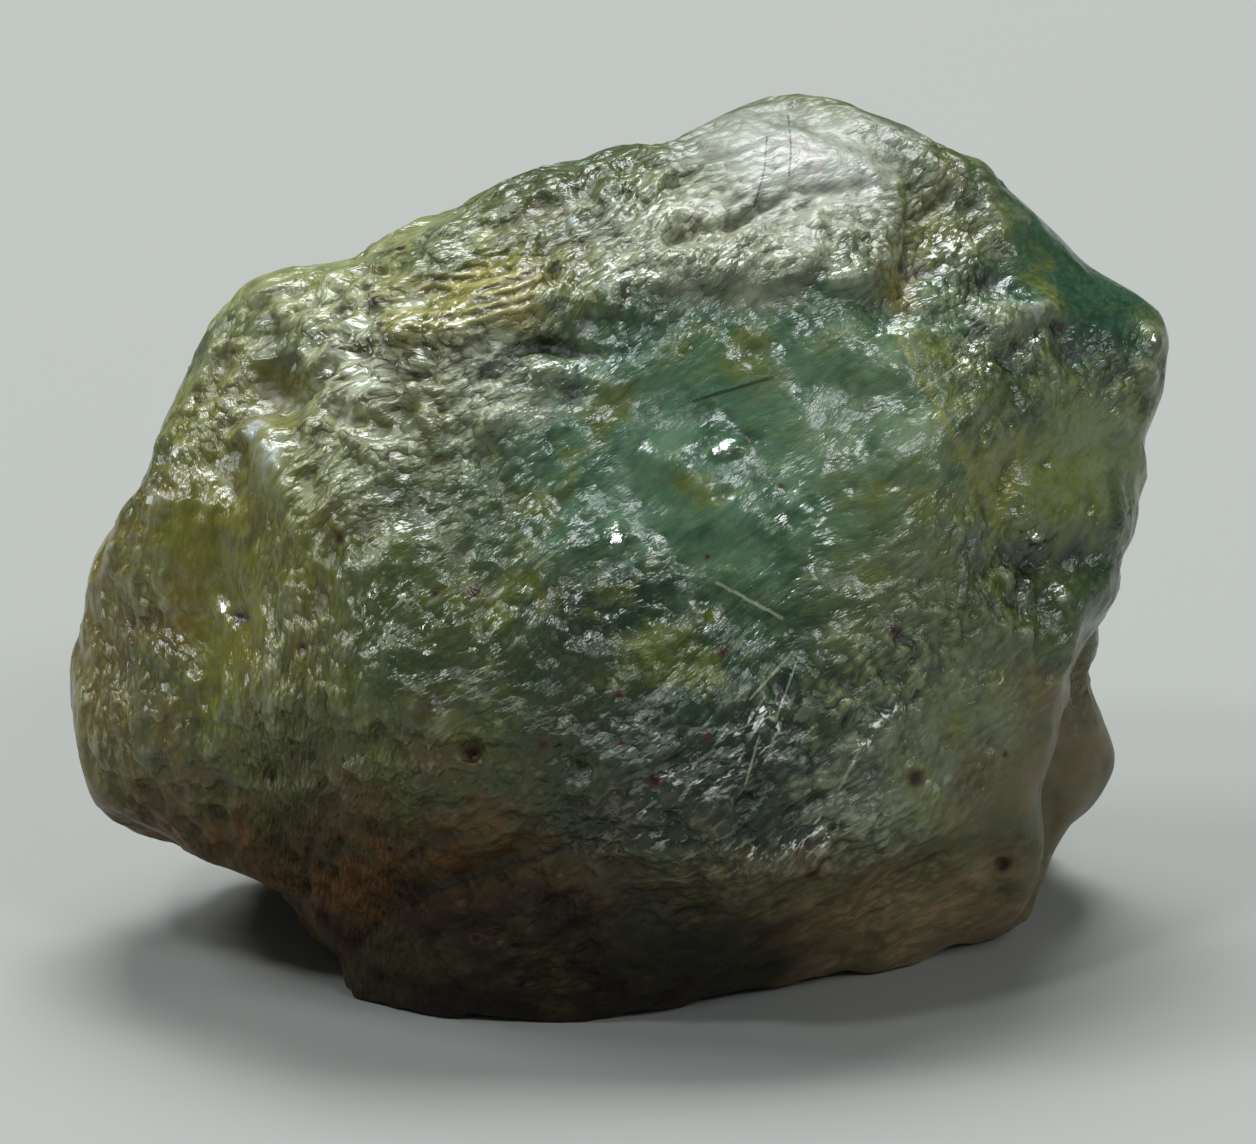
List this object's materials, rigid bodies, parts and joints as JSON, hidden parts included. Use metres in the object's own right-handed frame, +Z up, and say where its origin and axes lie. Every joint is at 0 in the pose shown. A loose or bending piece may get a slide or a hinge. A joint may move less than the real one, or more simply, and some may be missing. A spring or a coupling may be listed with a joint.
{
  "type": "rough zircon crystal",
  "caption": "Worn rough zircon crystal, green-teal with olive and brown zones, that rests on a flat face for display.",
  "frame": {"origin": "middle of the stone's bounding box, at the height of the flat face it rests on", "axes": "+Z up, +X to the right across the broad front (the stone's longest way), -Y out of the broad front"},
  "size_m": [0.015, 0.0106, 0.0114],
  "materials": {
    "zircon": "etched, glossy, cloudy green crystal with olive and brown stained zones"
  },
  "bodies": {
    "root": {"crystal": "zircon"}
  },
  "joints": []
}
